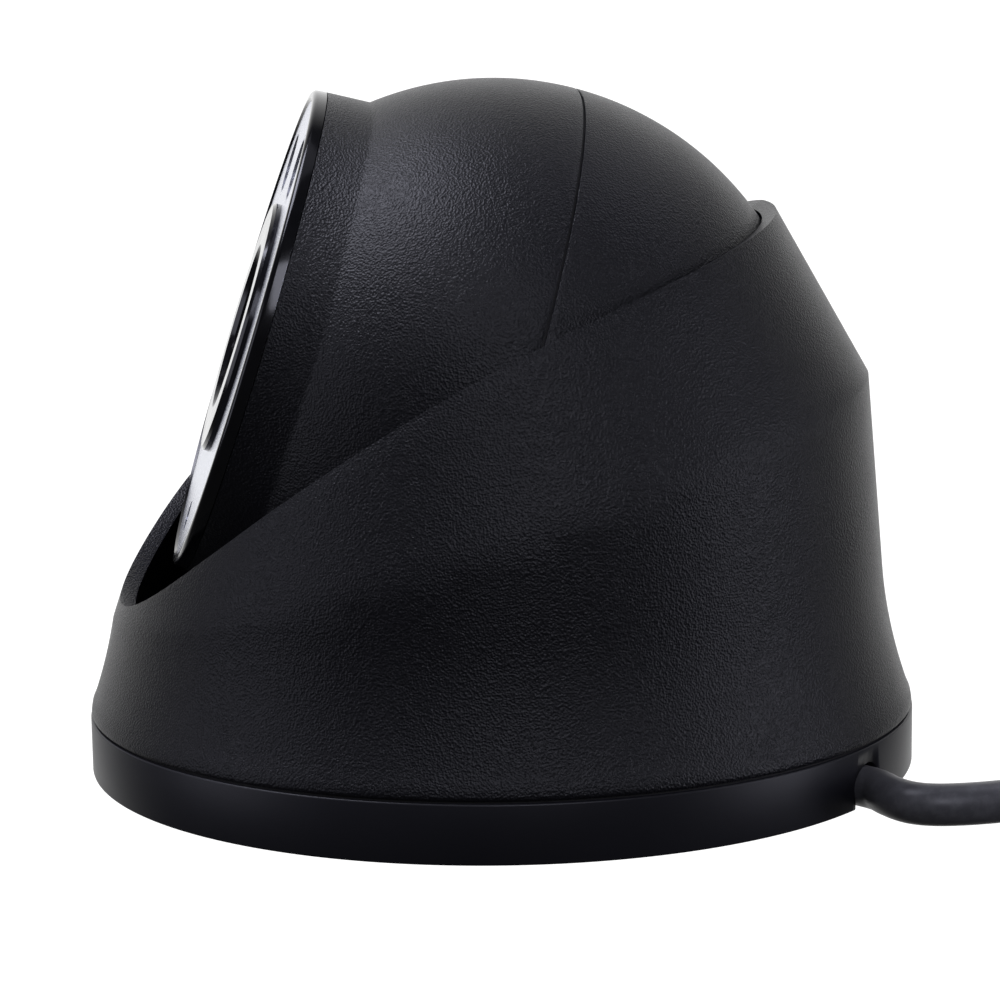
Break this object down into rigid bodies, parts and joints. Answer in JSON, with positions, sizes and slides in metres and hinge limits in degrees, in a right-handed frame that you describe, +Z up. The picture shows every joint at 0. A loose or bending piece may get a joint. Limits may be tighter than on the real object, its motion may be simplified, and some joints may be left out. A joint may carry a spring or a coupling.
{
  "type": "dome cctv camera",
  "caption": "Turret surveillance camera: an eyeball lens housing in a sloped cover that pans on a round mounting base, with a short lead and screw-on round plug.",
  "frame": {"origin": "centre of the mounting base's underside", "axes": "+Z up, out of the mounting surface and along the pan axis; -Y is the side the lens faces at rest, to within 4.5 degrees; +X is the lens side's left hand as seen from the front"},
  "size_m": [0.1358, 0.1983, 0.0901],
  "materials": {
    "black_abs": "fine moulded grain",
    "base_abs": "smooth satin",
    "gloss_black": "gloss",
    "black_nylon": "plain",
    "black_rubber": "plain",
    "cable_pvc": "satin",
    "zinc_steel": "zinc plated",
    "black_steel": "black oxide",
    "black_metal": "black anodised",
    "nickel": "nickel plated",
    "silver_plate": "silver paint",
    "aluminium": "plain",
    "window_glass": "clear dark",
    "lens_glass": "coated",
    "circuit_board": "solder mask",
    "chip_black": "plain",
    "connector_white": "plain"
  },
  "bodies": {
    "base": {"mounting_base": "base_abs", "glide_ring": "black_rubber", "pan_retainer": "black_nylon", "retainer_screws": "zinc_steel", "lead": "cable_pvc", "lead_coil": "cable_pvc", "lead_tail": "cable_pvc", "lead_grommet": "black_rubber", "lead_clamp": "black_nylon", "clamp_screws": "zinc_steel", "plug_boot": "black_rubber", "plug_shell": "nickel", "plug_nut": "nickel", "plug_insert": "black_nylon"},
    "cover": {"pan_cover": "black_abs", "lock_screw": "black_steel", "dust_shield": "black_nylon", "tilt_pin_left": "zinc_steel", "tilt_pin_right": "zinc_steel", "friction_washer_left": "black_nylon", "friction_washer_right": "black_nylon"},
    "yoke": {"tilt_yoke": "zinc_steel"},
    "ball": {"rear_shell": "black_abs", "front_shell": "black_abs", "shell_seal": "black_rubber", "shell_screws": "zinc_steel", "bezel_ring": "gloss_black", "reflector_plate": "silver_plate", "lens_hood": "gloss_black", "lens_window": "window_glass", "lens_barrel": "black_metal", "front_element": "lens_glass", "lens_mount": "black_nylon", "ir_cut_filter": "lens_glass", "image_sensor": "chip_black", "main_board": "circuit_board", "heat_spreader": "aluminium", "power_board": "circuit_board", "board_spacers": "zinc_steel", "board_screws": "zinc_steel", "harness_plug": "connector_white", "light_sensor": "window_glass", "led_board": "circuit_board", "hub_washer": "zinc_steel", "swivel_nut": "zinc_steel", "ir_led_left": "window_glass", "ir_led_right": "window_glass", "led_reflector_left": "silver_plate", "led_reflector_right": "silver_plate"}
  },
  "joints": [
    {"name": "pan", "type": "hinge", "parent": "base", "child": "cover", "pos_m": [0, 0, 0.0077], "axis": [0, 0, 1], "range_deg": [-175, 175]},
    {"name": "tilt", "type": "hinge", "parent": "cover", "child": "yoke", "pos_m": [0, -0.0005, 0.0474], "axis": [-0.9969, -0.0785, 0], "range_deg": [-18.2, 56.8]},
    {"name": "roll", "type": "hinge", "parent": "yoke", "child": "ball", "pos_m": [0, -0.0005, 0.0474], "axis": [0.0745, -0.947, 0.3123], "range_deg": [-175, 175]}
  ]
}
